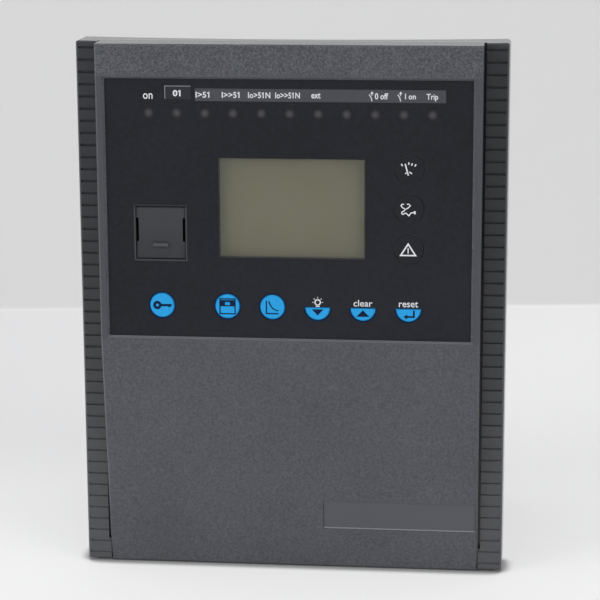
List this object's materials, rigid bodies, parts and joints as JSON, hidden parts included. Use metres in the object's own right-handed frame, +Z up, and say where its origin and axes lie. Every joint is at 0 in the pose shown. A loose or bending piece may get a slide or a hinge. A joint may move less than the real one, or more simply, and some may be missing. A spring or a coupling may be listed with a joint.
{
  "type": "protection relay",
  "caption": "Flush-mounted protection relay with ribbed bezel, raised sloping front, keypad film, display, hinged port cover and a boxed rear housing with screw terminals.",
  "frame": {"origin": "centre of the gasket's rear face, which seats on the front of the mounting panel", "axes": "+X to the right seen from the front, +Y into the mounting panel, +Z up"},
  "size_m": [0.1766, 0.1285, 0.222],
  "materials": {
    "bezel_plastic": "moulded, fine matt grain",
    "panel_plastic": "moulded, fine speckled grain",
    "badge_plastic": "smooth matt film, bare",
    "film": "fine-textured polyester film",
    "label_card": "printed card",
    "sticker": "printed self-adhesive film",
    "key_dark": "smooth dark key with a white pictogram",
    "key_blue": "smooth blue key with a dark pictogram",
    "light_pipe": "clear grey light pipe",
    "lamp": "cast resin",
    "window": "clear acrylic window",
    "display": "grey-green liquid crystal glass",
    "diffuser": "white light diffuser",
    "black_plastic": "moulded",
    "flap_plastic": "moulded, fine matt grain",
    "board": "green solder resist",
    "contact_metal": "plated",
    "steel": "zinc plated",
    "housing_plastic": "moulded, fine matt grain",
    "seal": "foam rubber",
    "chip_resin": "moulded resin",
    "ribbon": "flat ribbed insulation",
    "core_iron": "stacked laminations",
    "copper": "enamelled winding",
    "can_sleeve": "shrunk sleeve",
    "relay_case": "moulded case",
    "sensor_case": "moulded case",
    "plate_metal": "satin sheet",
    "terminal_plastic": "moulded, glass-filled",
    "green_plastic": "moulded"
  },
  "bodies": {
    "relay": {"bezel_frame": "bezel_plastic", "front_panel": "panel_plastic", "badge_plate": "badge_plastic", "overlay": "film", "led_label": "label_card", "marker_sticker": "sticker", "light_guide": "light_pipe", "status_leds": "lamp", "display_window": "window", "display_frame": "black_plastic", "display_glass": "display", "display_backlight": "diffuser", "key_board": "board", "key_domes": "contact_metal", "key_board_screws": "steel", "port_socket": "black_plastic", "port_board": "board", "housing": "housing_plastic", "gasket": "seal", "bezel_screws": "steel", "main_board": "board", "main_chips": "chip_resin", "ribbon_headers": "black_plastic", "ribbon_cable": "ribbon", "riser_board": "board", "board_pillars": "contact_metal", "pillar_screws": "steel", "power_board": "board", "transformer_core": "core_iron", "transformer_coil": "copper", "capacitors": "can_sleeve", "output_relays": "relay_case", "current_sensors": "sensor_case", "board_spacers": "contact_metal", "spacer_screws": "steel", "rear_plate": "plate_metal", "rear_screws": "steel", "power_header": "black_plastic", "header_pins": "contact_metal", "terminal_plug": "terminal_plastic", "plug_screws": "steel", "current_block": "terminal_plastic", "current_screws": "steel", "block_screws": "steel", "comm_socket": "green_plastic", "link_socket": "black_plastic", "earth_screw": "steel", "earth_washer": "contact_metal"},
    "meter_key": {"key_meter": "key_dark"},
    "diagnosis_key": {"key_diagnosis": "key_dark"},
    "alarm_key": {"key_alarm": "key_dark"},
    "password_key": {"key_password": "key_blue"},
    "parameters_key": {"key_parameters": "key_blue"},
    "curves_key": {"key_curves": "key_blue"},
    "down_key": {"key_down": "key_blue"},
    "up_key": {"key_up": "key_blue"},
    "enter_key": {"key_enter": "key_blue"},
    "flap": {"port_flap": "flap_plastic"}
  },
  "joints": [
    {"name": "meter_press", "type": "slide", "parent": "relay", "child": "meter_key", "axis": [0, 1, 0], "range_m": [0, 0.0005], "stiffness_N_per_m": 300, "springref_m": -0.0005},
    {"name": "diagnosis_press", "type": "slide", "parent": "relay", "child": "diagnosis_key", "axis": [0, 1, 0], "range_m": [0, 0.0005], "stiffness_N_per_m": 300, "springref_m": -0.0005},
    {"name": "alarm_press", "type": "slide", "parent": "relay", "child": "alarm_key", "axis": [0, 1, 0], "range_m": [0, 0.0005], "stiffness_N_per_m": 300, "springref_m": -0.0005},
    {"name": "password_press", "type": "slide", "parent": "relay", "child": "password_key", "axis": [0, 1, 0], "range_m": [0, 0.0005], "stiffness_N_per_m": 300, "springref_m": -0.0005},
    {"name": "parameters_press", "type": "slide", "parent": "relay", "child": "parameters_key", "axis": [0, 1, 0], "range_m": [0, 0.0005], "stiffness_N_per_m": 300, "springref_m": -0.0005},
    {"name": "curves_press", "type": "slide", "parent": "relay", "child": "curves_key", "axis": [0, 1, 0], "range_m": [0, 0.0005], "stiffness_N_per_m": 300, "springref_m": -0.0005},
    {"name": "down_press", "type": "slide", "parent": "relay", "child": "down_key", "axis": [0, 1, 0], "range_m": [0, 0.0005], "stiffness_N_per_m": 300, "springref_m": -0.0005},
    {"name": "up_press", "type": "slide", "parent": "relay", "child": "up_key", "axis": [0, 1, 0], "range_m": [0, 0.0005], "stiffness_N_per_m": 300, "springref_m": -0.0005},
    {"name": "enter_press", "type": "slide", "parent": "relay", "child": "enter_key", "axis": [0, 1, 0], "range_m": [0, 0.0005], "stiffness_N_per_m": 300, "springref_m": -0.0005},
    {"name": "flap_hinge", "type": "hinge", "parent": "relay", "child": "flap", "pos_m": [-0.0523, -0.0286, 0.0441], "axis": [-1, 0, 0], "range_deg": [0, 90]}
  ]
}
